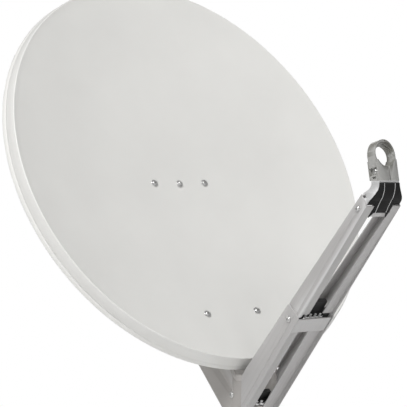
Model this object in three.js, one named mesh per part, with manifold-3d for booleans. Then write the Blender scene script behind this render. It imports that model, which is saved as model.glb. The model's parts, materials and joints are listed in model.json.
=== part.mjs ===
// Offset satellite dish with a folding feed arm, on a tilting carrier and a mast clamp.
// Millimetres, +Z up. The origin is the mast's axis at the middle of the clamp, and the dish faces -Y.
import * as THREE from "three";
import { mergeVertices } from "three/addons/utils/BufferGeometryUtils.js";
import Module from "manifold-3d";

const wasm = await Module();
wasm.setup();

// ---------------------------------------------------------------- driving dimensions
const GAP = 0.4;                                // clearance between touching pieces
const WASHER_SEAT = 0.9;                        // the same where a flat washer meets the curved reflector
const SIDES = [["left", -1], ["right", 1]];

// Reflector: an offset cut of a paraboloid. Seen along its beam its edge is a circle.
const APERTURE_RADIUS = 425;
const FOCAL_LENGTH = 530.8;
const CUT_CLEARANCE = 30.7;                     // from the paraboloid's axis to the cut's lower edge
const SHEET = 1.6;
const OFFSET_ANGLE = Math.atan((CUT_CLEARANCE + APERTURE_RADIUS) / (2 * FOCAL_LENGTH));
const HALF_HEIGHT = APERTURE_RADIUS / Math.cos(OFFSET_ANGLE);
const DISH_TILT = THREE.MathUtils.degToRad(29.3);   // rim plane, back from vertical
// Rim section past the surface's edge, as [outward, backward], outer side then inner side.
const RIM_OUTSIDE = [[2.2, -0.3], [4.2, 0.8], [5.4, 3.4], [9.2, 24], [10.6, 26.4], [13.2, 33], [13.2, 34.2]];
const RIM_INSIDE = [[11.6, 34.2], [11.6, 33.2], [9, 27], [7.6, 24.6], [3.8, 4.2], [2.6, 2.6]];

// Places in the dish's own upright frame, from the centre of its rim plane: [backward, upward].
const PIVOT_FROM_DISH = [78, -265];             // elevation pivot
const PIVOT_FROM_MAST = [-105, 0];
const ARM_TOP = [-612.2, -78.1];                // front corner of the feed arm's upper end
const ARM_SLOPE = THREE.MathUtils.degToRad(41); // arm, forward from vertical
const RING_CENTRE = [-597.5, 2.5];              // feed ring
const RING_TILT = THREE.MathUtils.degToRad(11); // feed ring's axis, down towards the dish

// Bolts through the reflector, as [across, up] along the beam.
const REFLECTOR_BOLTS = [[-67, 20.8], [0, 20.8], [67, 20.8], [-65, -302], [65, -302]];

// Carrier: a bent plate behind the reflector, with two welded cheeks that reach down to the arm's foot.
const CHEEK = { inner: 39.3, outer: 42.3 };
// Mast bracket: its two cheeks stand inside the carrier's.
const BRACKET_CHEEK = { inner: 35.5, outer: 38.7 };
const LOCK_RADIUS = 62;                         // elevation lock bolt, from the pivot
const LOCK_REST = 104;                          // degrees from +Y, turning towards +Z
const LOCK_TRAVEL = [-8, 38];                   // degrees the lock bolt may move along its slot
const PIVOT_BOLT = 5;
const LOCK_BOLT = 4;

// Feed arm rails. Along the arm is measured down from its top, depth back from its front edge.
const LOWER_WALL = { inner: 42.9, outer: 44.9 };
const UPPER_WALL = { inner: 40.4, outer: 42.4 };
const RAIL_TOP = { front: 13, back: 5 };        // the upper rails' slanted ends
const UPPER_FLANGE_END = 300;
const FOLD = { along: 327, depth: 21.8 };       // fold hinge between the rails
const UPPER_EYE = 15.6;                         // radius of the upper rails' ends about the hinge
const LOWER_TOP = 303;                          // the lower rails' upper end, along the arm
const FLANGE_SHEET = 2;
const BACK_FLANGE = 18;
const FOOT_END = { along: 648, depth: 18 };
const FOOT_BOLTS = [[612, 19], [646, 18]];
const HEAD_SCREW = { along: 32, depth: 14.5 };
const railDepth = (along) => 24.3 + 0.059 * along;

// Mast clamp, set for a mast of 60 mm.
const MAST_RADIUS = 30;
const VEE = MAST_RADIUS * Math.SQRT2;           // from the mast's axis to the bottom of each vee
const VEE_HALF = 34;
const TEETH = 6;
const TOOTH = 2;
const CLAMP_BOLTS = [[-50, 30], [50, 30], [-50, -30], [50, -30]];
const CLAMP_BOLT = 4;
const SADDLE = { front: -50, back: -44, half: 62, halfHeight: 58 };
const JAW = { face: 28, back: 32, crown: 48, halfHeight: 50 };

// ---------------------------------------------------------------- materials
const paint = (color, roughness, metalness) => new THREE.MeshStandardMaterial(
  { color, roughness, metalness });
const MATERIALS = {
  dish: () => paint(0xd2d1cc, 0.55, 0.0),
  rail: () => paint(0x9d9b99, 0.5, 0.3),
  carrier: () => paint(0x66625f, 0.6, 0.3),
  silver: () => paint(0xb9b9ba, 0.3, 0.8),
  casting: () => paint(0x858480, 0.5, 0.5),
  plastic: () => paint(0x151515, 0.6, 0.0),
  steel: () => paint(0xa8a8a8, 0.35, 0.9),
};

// ---------------------------------------------------------------- shape helpers
function toSolid(shape) {
  if (!shape.isBufferGeometry) {
    return shape;
  }
  const bare = shape.clone();
  bare.deleteAttribute("normal");
  bare.deleteAttribute("uv");
  const merged = mergeVertices(bare, 1e-4);
  const vertProperties = new Float32Array(merged.attributes.position.array);
  const triVerts = new Uint32Array(merged.index.array);
  return new wasm.Manifold(new wasm.Mesh({ numProp: 3, vertProperties, triVerts }));
}

function toGeometry(solid) {
  const mesh = solid.getMesh();
  const geometry = new THREE.BufferGeometry();
  geometry.setAttribute("position", new THREE.Float32BufferAttribute(mesh.vertProperties, 3));
  geometry.setIndex([...mesh.triVerts]);
  geometry.computeVertexNormals();
  return geometry;
}

const join = (...shapes) => shapes.map(toSolid).reduce((whole, next) => whole.add(next));
const cut = (shape, ...tools) => tools.map(toSolid)
  .reduce((whole, tool) => whole.subtract(tool), toSolid(shape));

// A closed skin over sections that have the same number of points, with a fan over each end.
function loft(sections) {
  const count = sections[0].length;
  const points = sections.flat();
  const centre = (section) => section
    .reduce((sum, p) => sum.add(p), new THREE.Vector3()).divideScalar(count);
  points.push(centre(sections[0]), centre(sections[sections.length - 1]));
  const index = [];
  for (let i = 0; i < count; i += 1) {
    const next = (i + 1) % count;
    for (let row = 0; row < sections.length - 1; row += 1) {
      const low = row * count;
      const high = low + count;
      index.push(low + i, low + next, high + i, low + next, high + next, high + i);
    }
    const last = (sections.length - 1) * count;
    index.push(points.length - 2, next, i, points.length - 1, last + i, last + next);
  }
  let volume = 0;
  for (let i = 0; i < index.length; i += 3) {
    volume += points[index[i]].dot(points[index[i + 1]].clone().cross(points[index[i + 2]]));
  }
  const geometry = new THREE.BufferGeometry();
  geometry.setAttribute("position", new THREE.Float32BufferAttribute(points.flatMap((p) => p.toArray()), 3));
  geometry.setIndex(volume < 0 ? index.reverse() : index);
  return geometry;
}

const shapeOf = (points) => new THREE.Shape(points.map(([a, b]) => new THREE.Vector2(a, b)));
const extrude = (shape, depth) => new THREE.ExtrudeGeometry(
  shape, { depth, bevelEnabled: false, curveSegments: 10 });

// A shape drawn as (y, z), from x0 to x1.
function acrossX(shape, x0, x1) {
  const low = Math.min(x0, x1);
  const cycle = new THREE.Matrix4().set(0, 0, 1, low, 1, 0, 0, 0, 0, 1, 0, 0, 0, 0, 0, 1);
  return extrude(shape, Math.abs(x1 - x0)).applyMatrix4(cycle);
}

// A shape drawn as (x, z), from y0 to y1.
const alongY = (shape, y0, y1) => extrude(shape, y1 - y0).rotateX(Math.PI / 2).translate(0, y1, 0);

// A shape drawn as (x, y), from z0 to z1.
const alongZ = (shape, z0, z1) => extrude(shape, z1 - z0).translate(0, 0, z0);

const box = (x, y, z) => new THREE.BoxGeometry(x[1] - x[0], y[1] - y[0], z[1] - z[0])
  .translate((x[0] + x[1]) / 2, (y[0] + y[1]) / 2, (z[0] + z[1]) / 2);

// A round or hexagonal rod along Y.
const rod = (radius, y0, y1, sides = 16) => new THREE.CylinderGeometry(radius, radius, y1 - y0, sides)
  .translate(0, (y0 + y1) / 2, 0);

// The same rod along X, through (y, z).
const crossRod = (radius, x0, x1, y, z, sides = 16) => rod(radius, x0, x1, sides)
  .rotateZ(-Math.PI / 2).translate(0, y, z);

// Screw or bolt along +Y: its washer sits on y = 0 and its head is on the -Y side.
function bolt({ radius, length, head, headHeight, washer, sides = 6 }) {
  const washerHeight = 1.4;
  return join(
    rod(radius, -washerHeight / 2, length, 12),
    rod(washer, -washerHeight, 0, 20),
    rod(head, -washerHeight - headHeight, -washerHeight / 2, sides),
  );
}

const nut = ({ bore, across, height }) => cut(rod(across, 0, height, 6), rod(bore, -1, height + 1, 12));

function addPart(parent, name, shape, material) {
  const geometry = shape.isBufferGeometry ? shape : toGeometry(shape);
  const mesh = new THREE.Mesh(geometry, MATERIALS[material]());
  mesh.name = name;
  parent.add(mesh);
  return mesh;
}

// ---------------------------------------------------------------- groups
const dish = new THREE.Group();
dish.name = "satellite_dish";

const reflectorFrame = new THREE.Group();       // upright, from the centre of the rim plane
reflectorFrame.position.set(
  0, PIVOT_FROM_MAST[0] - PIVOT_FROM_DISH[0], PIVOT_FROM_MAST[1] - PIVOT_FROM_DISH[1]);
const tilted = new THREE.Group();               // +Y is the rim plane's backward normal, +Z runs up the dish
tilted.rotation.x = -DISH_TILT;
const armFrame = new THREE.Group();             // +Y is depth, -Z runs down the arm
armFrame.position.set(0, ...ARM_TOP);
armFrame.rotation.x = ARM_SLOPE;
const ringFrame = new THREE.Group();            // +Y is the ring's axis, towards the dish
ringFrame.position.set(0, ...RING_CENTRE);
ringFrame.rotation.x = -RING_TILT;
reflectorFrame.add(tilted, armFrame, ringFrame);
dish.add(reflectorFrame);

// ---------------------------------------------------------------- reflector
// The backward normal of the reflecting surface at a place given along the beam.
function surfaceNormal(across, up) {
  const slopeUp = up / (2 * FOCAL_LENGTH);
  const slopeAcross = across / (2 * FOCAL_LENGTH);
  const cos = Math.cos(OFFSET_ANGLE);
  const sin = Math.sin(OFFSET_ANGLE);
  const alongUp = new THREE.Vector3(0, -slopeUp * cos, 1 / cos + slopeUp * sin);
  const alongAcross = new THREE.Vector3(1, -slopeAcross * cos, slopeAcross * sin);
  return alongUp.cross(alongAcross).normalize();
}

function surfacePoint(across, up, behind = 0) {
  const sag = (APERTURE_RADIUS ** 2 - across ** 2 - up ** 2) / (4 * FOCAL_LENGTH);
  const point = new THREE.Vector3(
    across, sag * Math.cos(OFFSET_ANGLE), up / Math.cos(OFFSET_ANGLE) - sag * Math.sin(OFFSET_ANGLE));
  return point.addScaledVector(surfaceNormal(across, up), behind);
}

const turn = (count, place) => Array.from({ length: count }, (_, i) => place((i / count) * 2 * Math.PI));
const surfaceRing = (share, behind) => turn(72, (angle) => surfacePoint(
  share * APERTURE_RADIUS * Math.cos(angle), share * APERTURE_RADIUS * Math.sin(angle), behind));
const rimRing = ([outward, backward]) => turn(72, (angle) => {
  const edge = new THREE.Vector3(APERTURE_RADIUS * Math.cos(angle), 0, HALF_HEIGHT * Math.sin(angle));
  const normal = new THREE.Vector3(Math.cos(angle) / APERTURE_RADIUS, 0, Math.sin(angle) / HALF_HEIGHT);
  return edge.addScaledVector(normal.normalize(), outward).setY(backward);
});

const RING_SHARES = [0.08, 0.2, 0.31, 0.42, 0.53, 0.64, 0.75, 0.87, 0.995];
const reflectorSkin = loft([
  ...RING_SHARES.map((share) => surfaceRing(share, 0)),
  ...RIM_OUTSIDE.map(rimRing),
  ...RIM_INSIDE.map(rimRing),
  ...RING_SHARES.toReversed().map((share) => surfaceRing(share, SHEET)),
]);

// Turns something made along +Y onto the surface's normal and sets it at a bolt's place.
function ontoSurface(object, [across, up], behind) {
  object.position.copy(surfacePoint(across, up, behind));
  object.quaternion.setFromUnitVectors(new THREE.Vector3(0, 1, 0), surfaceNormal(across, up));
  object.updateMatrix();
  return object;
}

const boltHoles = (radius) => REFLECTOR_BOLTS.map((place) => {
  const hole = ontoSurface(new THREE.Object3D(), place, 0);
  return rod(radius, -8, 20, 12).applyMatrix4(hole.matrix);
});

addPart(tilted, "reflector", cut(reflectorSkin, ...boltHoles(3.4)), "dish");

// ---------------------------------------------------------------- carrier
const PLATE = { gap: SHEET + 1, sheet: 3, halfWidth: 80, low: -322, high: 42, rows: 9, columns: 4 };
const plateHeights = Array.from(
  { length: PLATE.rows + 1 }, (_, row) => THREE.MathUtils.lerp(PLATE.low, PLATE.high, row / PLATE.rows));
const plateSection = (up) => {
  const line = (behind) => Array.from({ length: PLATE.columns + 1 }, (_, column) => surfacePoint(
    THREE.MathUtils.lerp(-PLATE.halfWidth, PLATE.halfWidth, column / PLATE.columns), up, behind));
  return [...line(PLATE.gap), ...line(PLATE.gap + PLATE.sheet).toReversed()];
};
const carrierPlate = cut(loft(plateHeights.map(plateSection)), ...boltHoles(3.4));
addPart(tilted, "carrier_plate", carrierPlate, "carrier");

// A place on the arm, as [backward, upward] from the dish's centre.
function armPoint(along, depth) {
  const sin = Math.sin(ARM_SLOPE);
  const cos = Math.cos(ARM_SLOPE);
  return [ARM_TOP[0] + along * sin + depth * cos, ARM_TOP[1] - along * cos + depth * sin];
}

// The same for a place on the cheeks' edge against the plate.
const WELD_GAP = 0.7;
const cheekAcross = (CHEEK.inner + CHEEK.outer) / 2;
function platePoint(up) {
  const point = surfacePoint(cheekAcross, up, PLATE.gap + PLATE.sheet + WELD_GAP)
    .applyAxisAngle(new THREE.Vector3(1, 0, 0), -DISH_TILT);
  return [point.y, point.z];
}

const SHOE_FRONT = 12.6;                        // depth of the carrier's shoe behind the arm's front edge
const CHEEK_FRONT = -235;
const CHEEK_TOP = -438;
const cheekShape = shapeOf([
  [CHEEK_FRONT, -428],
  [CHEEK_FRONT, -491],
  armPoint(586, SHOE_FRONT),
  armPoint(650, SHOE_FRONT),
  armPoint(661, 18),
  armPoint(657, 30),
  armPoint(640, 36),
  [-157, -512],
  [-77, -437],
  [92, -290],
  [102, -278],
  [106, -262],
  [104, -236],
  [110, -60],
  [100, -30],
  ...plateHeights.toReversed().map(platePoint),
  [-190, -408],
  [-196.5, -426],
  [-200, -434.5],
  [-205, CHEEK_TOP],
  [-231, CHEEK_TOP],
]);
const SHOE_SPACER = [-192, -482];               // tube and screws between the cheeks, under the rim
const toCheek = ([y, z]) => [y + PIVOT_FROM_DISH[0] - PIVOT_FROM_MAST[0], z + PIVOT_FROM_DISH[1]];
const polar = (radius, degrees) => {
  const angle = THREE.MathUtils.degToRad(degrees);
  return [PIVOT_FROM_MAST[0] + radius * Math.cos(angle), PIVOT_FROM_MAST[1] + radius * Math.sin(angle)];
};
const lockPlace = toCheek(polar(LOCK_RADIUS, LOCK_REST));

const through = (radius, [y, z]) => crossRod(radius, -60, 60, y, z);
const footPlaces = FOOT_BOLTS.map(([along, depth]) => armPoint(along, depth));
const cheekHoles = () => [
  through(PIVOT_BOLT + GAP, PIVOT_FROM_DISH),
  through(LOCK_BOLT + GAP, lockPlace),
  through(3.4, SHOE_SPACER),
  ...footPlaces.map((place) => through(3.4, place)),
];
SIDES.forEach(([label, side]) => {
  const cheek = cut(acrossX(cheekShape, side * CHEEK.inner, side * CHEEK.outer), ...cheekHoles());
  addPart(reflectorFrame, `carrier_cheek_${label}`, cheek, "carrier");
});
// Web between the cheeks, behind the arm's foot.
const footWeb = acrossX(
  shapeOf([armPoint(578, SHOE_FRONT), armPoint(650, SHOE_FRONT), armPoint(650, 15.6), armPoint(578, 15.6)]),
  GAP - CHEEK.inner, CHEEK.inner - GAP);
const webHoles = footPlaces.map((place) => through(3.4, place));
addPart(reflectorFrame, "foot_web", cut(footWeb, ...webHoles), "carrier");

REFLECTOR_BOLTS.forEach((place, i) => {
  const proud = i === 1 ? 5 : 3;                // the middle upper bolt stands further out
  const shape = bolt({ radius: 3, length: 16, head: 5.2, headHeight: proud, washer: 8, sides: 12 });
  ontoSurface(addPart(tilted, `reflector_bolt_${i + 1}`, shape, "steel"), place, -WASHER_SEAT);
  const hex = nut({ bore: 3 + GAP, across: 6.4, height: 5 });
  const seat = PLATE.gap + PLATE.sheet + WASHER_SEAT;
  ontoSurface(addPart(tilted, `reflector_nut_${i + 1}`, hex, "steel"), place, seat);
});

// Tube that keeps the carrier's cheeks apart, with a screw into each end.
const spacer = cut(
  crossRod(6, -CHEEK.inner + GAP, CHEEK.inner - GAP, ...SHOE_SPACER), through(3.4, SHOE_SPACER));
addPart(reflectorFrame, "cheek_spacer", spacer, "steel");

// Places a screw made along +Y so that it enters along X from the given side.
function fromSide(mesh, side, x, [y, z]) {
  mesh.rotation.z = side * Math.PI / 2;
  mesh.position.set(side * x, y, z);
  return mesh;
}

SIDES.forEach(([label, side]) => {
  const screw = bolt({ radius: 3, length: 18, head: 4.6, headHeight: 2.6, washer: 6.4, sides: 12 });
  const placed = addPart(reflectorFrame, `cheek_screw_${label}`, screw, "steel");
  fromSide(placed, side, CHEEK.outer + GAP, SHOE_SPACER);
});

// ---------------------------------------------------------------- feed arm rails
// In the arm's frame a shape across X is drawn as (depth, -along).
const armShape = (points) => shapeOf(points.map(([along, depth]) => [depth, -along]));

// A strip of a rail's flange that tapers from one end to the other.
function flange(side, outer, ends) {
  return loft(ends.map(({ along, inner, front }) => [
    new THREE.Vector3(side * inner, front, -along),
    new THREE.Vector3(side * outer, front, -along),
    new THREE.Vector3(side * outer, front + FLANGE_SHEET, -along),
    new THREE.Vector3(side * inner, front + FLANGE_SHEET, -along),
  ]));
}

const backFlange = (side, wall, alongs) => flange(side, wall.inner + 1, alongs.map((along) => (
  { along, inner: wall.inner - BACK_FLANGE, front: railDepth(along) - FLANGE_SHEET })));

// Bar between the lower rails, with a lug behind its lower edge.
const BAR = { from: 309, to: 345, front: 1.5, back: 4.5, half: LOWER_WALL.inner - 1.5, lug: 6 };

// The upper rail's wall ends in a round eye at the fold hinge.
function upperWallShape() {
  const shape = new THREE.Shape();
  shape.moveTo(0, -RAIL_TOP.front);
  shape.lineTo(0, -UPPER_FLANGE_END);
  shape.lineTo(BAR.back + GAP + 0.6, 1 - BAR.from);
  shape.absarc(FOLD.depth, -FOLD.along, UPPER_EYE, Math.PI * 0.9, Math.PI * 2.1, false);
  shape.lineTo(railDepth(UPPER_FLANGE_END), -UPPER_FLANGE_END);
  shape.lineTo(railDepth(RAIL_TOP.back), -RAIL_TOP.back);
  return shape;
}

function lowerWallShape() {
  const shape = new THREE.Shape();
  shape.moveTo(0, -LOWER_TOP - 3);
  shape.lineTo(0, -FOOT_END.along);
  shape.absarc(FOOT_END.depth, -FOOT_END.along, FOOT_END.depth, Math.PI, 2 * Math.PI, false);
  shape.lineTo(2 * FOOT_END.depth, -606);
  shape.lineTo(24, -590);
  shape.lineTo(11.5, -575);
  shape.lineTo(52.9, -524.4);
  shape.lineTo(railDepth(LOWER_TOP), -LOWER_TOP - 3);
  shape.lineTo(railDepth(LOWER_TOP) - 3, -LOWER_TOP);
  shape.lineTo(3, -LOWER_TOP);
  return shape;
}

const LOWER_SLOT = { from: 346, half: 13, recess: 10 };
const UPPER_SLOT = { topHalf: 23, lowHalf: 17.4, topRecess: 0, lowRecess: 6.5 };
const armHole = (radius, { along, depth }) => crossRod(radius, -60, 60, depth, -along);

SIDES.forEach(([label, side]) => {
  const upper = cut(
    join(
      acrossX(upperWallShape(), side * UPPER_WALL.inner, side * UPPER_WALL.outer),
      flange(side, UPPER_WALL.inner + 1, [
        { along: RAIL_TOP.front, inner: UPPER_SLOT.topHalf, front: UPPER_SLOT.topRecess },
        { along: UPPER_FLANGE_END, inner: UPPER_SLOT.lowHalf, front: UPPER_SLOT.lowRecess },
      ]),
      backFlange(side, UPPER_WALL, [RAIL_TOP.back + 1, UPPER_FLANGE_END]),
    ),
    armHole(3.4, FOLD),
    armHole(2.4, HEAD_SCREW),
  );
  addPart(armFrame, `upper_rail_${label}`, upper, "rail");

  const lower = cut(
    join(
      acrossX(lowerWallShape(), side * LOWER_WALL.inner, side * LOWER_WALL.outer),
      flange(side, LOWER_WALL.inner + 1, [
        { along: LOWER_SLOT.from, inner: LOWER_SLOT.half, front: LOWER_SLOT.recess },
        { along: FOOT_END.along, inner: LOWER_SLOT.half, front: LOWER_SLOT.recess },
      ]),
      backFlange(side, LOWER_WALL, [354, 508]),
    ),
    armHole(3.4, FOLD),
    ...FOOT_BOLTS.map(([along, depth]) => armHole(3.4, { along, depth })),
  );
  addPart(armFrame, `lower_rail_${label}`, lower, "rail");

  const foldScrew = bolt({ radius: 3, length: 9, head: 4.6, headHeight: 2.6, washer: 6, sides: 12 });
  fromSide(addPart(armFrame, `fold_screw_${label}`, foldScrew, "steel"), side, LOWER_WALL.outer + GAP,
    [FOLD.depth, -FOLD.along]);
  const headScrew = bolt({ radius: 2, length: 8, head: 3.8, headHeight: 2.2, washer: 5.6, sides: 12 });
  fromSide(addPart(armFrame, `head_screw_${label}`, headScrew, "steel"), side, UPPER_WALL.outer + GAP,
    [HEAD_SCREW.depth, -HEAD_SCREW.along]);
});

FOOT_BOLTS.forEach(([along, depth], i) => {
  const reach = LOWER_WALL.outer + GAP;
  const shape = bolt({ radius: 3, length: 2 * reach + 8, head: 5.4, headHeight: 4, washer: 8 });
  fromSide(addPart(armFrame, `foot_bolt_${i + 1}`, shape, "steel"), -1, reach, [depth, -along]);
  const hex = nut({ bore: 3 + GAP, across: 6.4, height: 5 });
  fromSide(addPart(armFrame, `foot_nut_${i + 1}`, hex, "steel"), -1, -reach, [depth, -along]);
});

// Bar across the lower rails at the fold, in front of the upper rails' eyes.
const foldBar = join(
  box([-BAR.half, BAR.half], [BAR.front, BAR.back], [-BAR.to, -BAR.from]),
  box([-16, 16], [BAR.front, BAR.back + BAR.lug], [-BAR.to, -BAR.to + 3]),
);
addPart(armFrame, "fold_bar", foldBar, "rail");

// Black cable combs: a plate with round notches that hold the leads, and a block behind it.
function comb({ half, front, back, from, to, notches, pitch, radius, block }) {
  const plate = box([-half, half], [front, back], [-to, -from]);
  const backing = box([-block.half, block.half], [back - block.depth, back], [-to, -block.from]);
  const holes = Array.from({ length: notches }, (_, i) => rod(radius, -to - 1, 1 - from, 16)
    .rotateX(Math.PI / 2).translate((i - (notches - 1) / 2) * pitch, front, 0));
  return join(cut(plate, ...holes), backing);
}

const foldComb = comb({
  half: UPPER_WALL.inner - GAP, front: 9.5, back: 24, from: 302, to: 316,
  notches: 4, pitch: 12, radius: 5, block: { half: 22, from: 276, depth: 9 },
});
const footComb = comb({
  half: CHEEK.inner - GAP, front: 13, back: 30, from: 563, to: 573,
  notches: 2, pitch: 12, radius: 5, block: { half: 24, from: 545, depth: 9 },
});
addPart(armFrame, "fold_comb", foldComb, "plastic");
addPart(armFrame, "foot_comb", footComb, "plastic");

// ---------------------------------------------------------------- head between rails and feed clamp
// Sections down the head: height, half width, front and back of the bracket.
const HEAD_SECTIONS = [
  { z: -42, half: 24.5, front: -621, back: -597 },
  { z: -49, half: 24.8, front: -621, back: -597 },
  { z: -57, half: 27, front: -620.5, back: -593 },
  { z: -64, half: 31, front: -618.5, back: -583 },
  { z: -72, half: 36, front: -614.8, back: -576 },
  { z: -78, half: 39, front: -610, back: -572.5 },
  { z: -86, half: 39.4, front: -603, back: -567 },
];
const HEAD_SHEET = 2.4;

const headRow = (z, x0, x1, y0, y1) => [
  new THREE.Vector3(x0, y0, z), new THREE.Vector3(x1, y0, z),
  new THREE.Vector3(x1, y1, z), new THREE.Vector3(x0, y1, z)];
const headWall = (side) => loft(HEAD_SECTIONS.map(({ z, half, front, back }) => (
  headRow(z, side * (half - HEAD_SHEET), side * half, front, back))));
const headBack = loft(HEAD_SECTIONS.map(({ z, half, back }) => (
  headRow(z, 1 - half, half - 1, back - HEAD_SHEET, back))));
const headTop = box([-24, 24], [-621, -597], [-44.4, -41.9]);
// Moves a shape from the arm's frame to the dish's upright frame.
const fromArm = (shape) => shape.rotateX(ARM_SLOPE).translate(0, ...ARM_TOP);
// Tongues that reach down inside the upper rails and take the head screws, and the web between them.
const TONGUE_OUTER = UPPER_WALL.inner - 1;
const tongueShape = armShape([[1, 3.4], [46, 3.4], [46, 21], [12, 21], [4.5, 14]]);
const tongue = (side) => fromArm(
  acrossX(tongueShape, side * (TONGUE_OUTER - HEAD_SHEET), side * TONGUE_OUTER));
const tongueWeb = fromArm(box([1 - TONGUE_OUTER, TONGUE_OUTER - 1], [3.4, 5.8], [-41, -27.6]));
// Everything below the slanted upper ends of the rails, where the head's shell stops.
const railTopAt = (depth) => RAIL_TOP.front - GAP + depth * (RAIL_TOP.back - RAIL_TOP.front) / railDepth(0);
const belowRailTop = fromArm(acrossX(
  armShape([[railTopAt(-60), -60], [railTopAt(90), 90], [140, 90], [140, -60]]), -60, 60));
const headShell = cut(join(headWall(-1), headWall(1), headBack, headTop), belowRailTop);
const headBracket = cut(
  join(headShell, tongue(-1), tongue(1), tongueWeb), fromArm(armHole(2.4, HEAD_SCREW)));
addPart(reflectorFrame, "head_bracket", headBracket, "silver");

const insertBody = loft(HEAD_SECTIONS.map(({ z, half, front }) => (
  headRow(Math.min(z, -44.8), GAP + HEAD_SHEET - half, half - HEAD_SHEET - GAP, front + 0.5, front + 9))));
const insertSkirt = fromArm(acrossX(
  armShape([[-12, 4.2], [-6, 2.6], [2, 2], [12, 0.8], [28, -1.5], [28, 1.5], [4, 12], [-14, 16]]),
  -21.6, 21.6));
addPart(reflectorFrame, "head_insert", join(cut(insertBody, belowRailTop), insertSkirt), "plastic");

// ---------------------------------------------------------------- feed clamp
// A ring that grows out of a block. One screw from the left draws the slit below the bore together.
const RING = { half: 25, top: 31, bore: 20, halfDepth: 10.6 };
const BLOCK = { half: 24.4, top: -7, low: -60, halfDepth: 13 };
// Steps in front of the bore, each reaching further in, and the wider mouth behind it.
const MOUTHS = [
  { radius: 23, up: 4, from: -30, to: -6 },
  { radius: 21.5, up: 1.5, from: -30, to: -2 },
  { radius: 22.5, up: 0, from: 5, to: 30 },
];
const SLIT = [2.4, 4.9];
const CLAMP_SCREW = { height: -27.5, seat: 18.5, length: 30 };

// The ring's outline: straight sides up to the bore's middle and half an ellipse above it.
function ringShape() {
  const shape = new THREE.Shape();
  shape.moveTo(-BLOCK.half, BLOCK.low);
  shape.lineTo(BLOCK.half, BLOCK.low);
  shape.lineTo(RING.half, 0);
  shape.absellipse(0, 0, RING.half, RING.top, 0, Math.PI, false, 0);
  return shape;
}

// Everything below the head's top face, seen from the ring's frame.
const belowHeadTop = box([-60, 60], [-700, -500], [-141.5, -41.5])
  .translate(0, -RING_CENTRE[0], -RING_CENTRE[1]).rotateX(RING_TILT);
const feedClamp = cut(
  join(
    alongY(ringShape(), -RING.halfDepth, RING.halfDepth),
    box([-BLOCK.half, BLOCK.half], [-BLOCK.halfDepth, BLOCK.halfDepth], [BLOCK.low, BLOCK.top]),
  ),
  belowHeadTop,
  rod(RING.bore, -30, 30, 40),
  ...MOUTHS.map(({ radius, up, from, to }) => rod(radius, from, to, 40).translate(0, 0, up)),
  box(SLIT, [-30, 30], [BLOCK.low, 0]),
  box([-30, -CLAMP_SCREW.seat], [-10, 10.5], [-34.5, -20.5]),
  crossRod(2.9, -40, 14, 0, CLAMP_SCREW.height),
);
addPart(ringFrame, "feed_clamp", feedClamp, "casting");
const clampScrew = bolt(
  { radius: 2.5, length: CLAMP_SCREW.length, head: 5.4, headHeight: 3, washer: 6.2, sides: 12 });
fromSide(addPart(ringFrame, "feed_clamp_screw", clampScrew, "steel"), -1, CLAMP_SCREW.seat + GAP,
  [0, CLAMP_SCREW.height]);

// ---------------------------------------------------------------- mast bracket and clamp
// Points down one wall of a toothed vee and up the other, for a vee that opens towards +Y.
function toothedVee() {
  const points = [];
  for (let i = -TEETH; i < TEETH; i += 1) {
    const start = (i / TEETH) * VEE_HALF;
    const middle = ((i + 0.5) / TEETH) * VEE_HALF;
    points.push([start, Math.abs(start) - VEE], [middle, Math.abs(middle) - VEE - TOOTH]);
  }
  return [...points, [VEE_HALF, VEE_HALF - VEE]];
}

const saddleJaw = (z0, z1) => alongZ(shapeOf([
  [-VEE_HALF, SADDLE.back - 1], ...toothedVee(), [VEE_HALF, SADDLE.back - 1]].toReversed()), z0, z1);

function bracketCheekShape() {
  const [y, z] = PIVOT_FROM_MAST;
  const degrees = THREE.MathUtils.degToRad;
  const shape = new THREE.Shape();
  shape.moveTo(SADDLE.back - 2, -54);
  shape.lineTo(SADDLE.back - 2, 54);
  shape.absarc(y, z, LOCK_RADIUS + 14, degrees(84), degrees(152), false);
  shape.absarc(y, z, 24, degrees(170), degrees(262), false);
  const slot = new THREE.Path();
  const [from, to] = LOCK_TRAVEL.map((travel) => LOCK_REST + travel);
  const half = LOCK_BOLT + GAP;
  slot.absarc(y, z, LOCK_RADIUS + half, degrees(from), degrees(to), false);
  slot.absarc(...polar(LOCK_RADIUS, to), half, degrees(to), degrees(to + 180), false);
  slot.absarc(y, z, LOCK_RADIUS - half, degrees(to), degrees(from), true);
  slot.absarc(...polar(LOCK_RADIUS, from), half, degrees(from - 180), degrees(from), false);
  shape.holes.push(slot);
  return shape;
}

const inMast = (radius, [y, z]) => crossRod(radius, -70, 70, y, z);
const mastBracket = cut(
  join(
    box([-SADDLE.half, SADDLE.half], [SADDLE.front, SADDLE.back], [-SADDLE.halfHeight, SADDLE.halfHeight]),
    saddleJaw(-SADDLE.halfHeight, 14 - SADDLE.halfHeight),
    saddleJaw(SADDLE.halfHeight - 14, SADDLE.halfHeight),
    ...SIDES.map(([, side]) => acrossX(
      bracketCheekShape(), side * BRACKET_CHEEK.inner, side * BRACKET_CHEEK.outer)),
    box([-BRACKET_CHEEK.outer, BRACKET_CHEEK.outer], [-84, -45], [-3, 3]),
  ),
  inMast(PIVOT_BOLT + GAP, PIVOT_FROM_MAST),
  ...CLAMP_BOLTS.map(([x, z]) => rod(CLAMP_BOLT + GAP, -90, 90).translate(x, 0, z)),
);
addPart(dish, "mast_bracket", mastBracket, "carrier");

const pivotReach = CHEEK.outer + GAP;
const pivotBolt = bolt(
  { radius: PIVOT_BOLT, length: 2 * pivotReach + 13, head: 8.4, headHeight: 6, washer: 11 });
fromSide(addPart(dish, "pivot_bolt", pivotBolt, "steel"), -1, pivotReach, PIVOT_FROM_MAST);
fromSide(addPart(dish, "pivot_nut", nut({ bore: PIVOT_BOLT + GAP, across: 9.4, height: 8 }), "steel"),
  -1, -pivotReach, PIVOT_FROM_MAST);

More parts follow.
